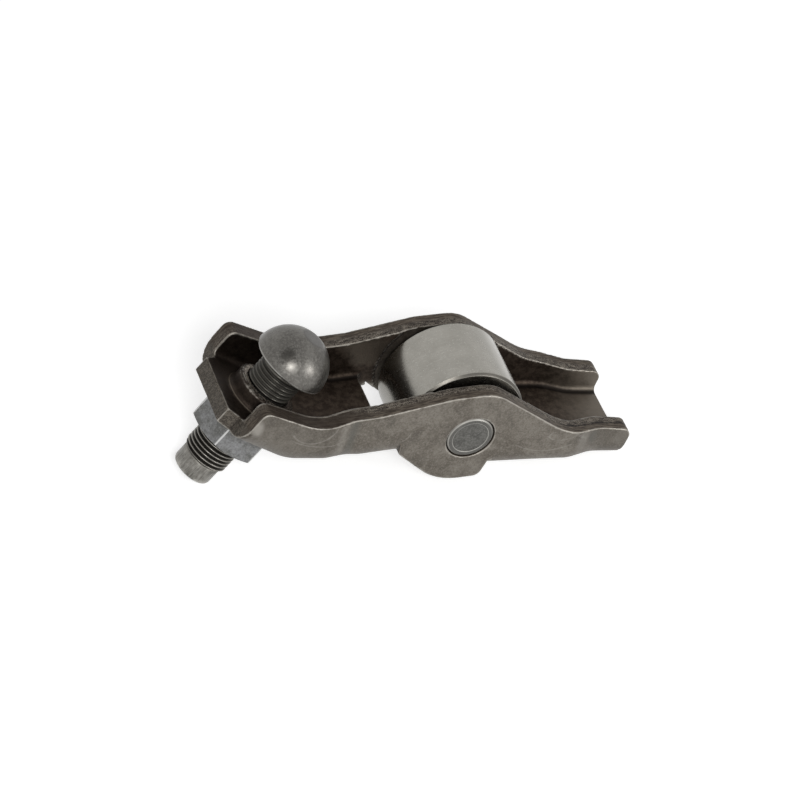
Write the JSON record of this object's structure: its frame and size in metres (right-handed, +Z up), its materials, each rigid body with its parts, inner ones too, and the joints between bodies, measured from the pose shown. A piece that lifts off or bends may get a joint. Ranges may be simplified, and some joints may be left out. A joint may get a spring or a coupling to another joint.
{
  "type": "roller finger rocker arm",
  "caption": "Pressed steel rocker arm with a cam roller between its walls, a valve pad at one end, and a ball headed adjusting screw held by a lock nut at the other.",
  "frame": {"origin": "middle of the cam roller's axis, half way between the walls", "axes": "+X points along the arm to its valve end, +Y runs along the roller's axis, and +Z points up out of the channel's open side as the arm lies on its valve end and screw tail"},
  "size_m": [0.0759, 0.0224, 0.0289],
  "materials": {
    "hardened_sheet": "blasted and hardened, dark brownish grey",
    "oxide_steel": "polished ball head, dark thread and turned tail",
    "nut_steel": "bluish grey phosphate",
    "ground_steel": "ground satin",
    "pin_steel": "ground satin, slightly dull",
    "bearing_steel": "polished"
  },
  "bodies": {
    "arm": {"rocker_body": "hardened_sheet", "roller_pin": "pin_steel"},
    "cam_roller": {"roller": "ground_steel"},
    "needle_ring": {"needle_01": "bearing_steel", "needle_02": "bearing_steel", "needle_03": "bearing_steel", "needle_04": "bearing_steel", "needle_05": "bearing_steel", "needle_06": "bearing_steel", "needle_07": "bearing_steel", "needle_08": "bearing_steel", "needle_09": "bearing_steel", "needle_10": "bearing_steel", "needle_11": "bearing_steel", "needle_12": "bearing_steel", "needle_13": "bearing_steel", "needle_14": "bearing_steel", "needle_15": "bearing_steel", "needle_16": "bearing_steel", "needle_17": "bearing_steel", "needle_18": "bearing_steel", "needle_19": "bearing_steel", "needle_20": "bearing_steel"},
    "screw": {"adjusting_screw": "oxide_steel"},
    "nut": {"lock_nut": "nut_steel"}
  },
  "joints": [
    {"name": "roller_spin", "type": "hinge", "parent": "arm", "child": "cam_roller", "pos_m": [0, 0, 0], "axis": [0, 1, 0], "continuous": true},
    {"name": "needle_orbit", "type": "hinge", "parent": "arm", "child": "needle_ring", "pos_m": [0, 0, 0], "axis": [0, 1, 0], "continuous": true},
    {"name": "screw_adjust", "type": "slide", "parent": "arm", "child": "screw", "axis": [0.5627, 0, 0.8267], "range_m": [-0.002, 0.002]},
    {"name": "nut_turn", "type": "hinge", "parent": "arm", "child": "nut", "pos_m": [-0.03709, 0, -0.00022], "axis": [-0.5627, 0, -0.8267], "range_deg": [0, 360]}
  ],
  "couplings": [
    {"joint": "needle_orbit", "follows": "roller_spin", "ratio": 0.5776}
  ]
}
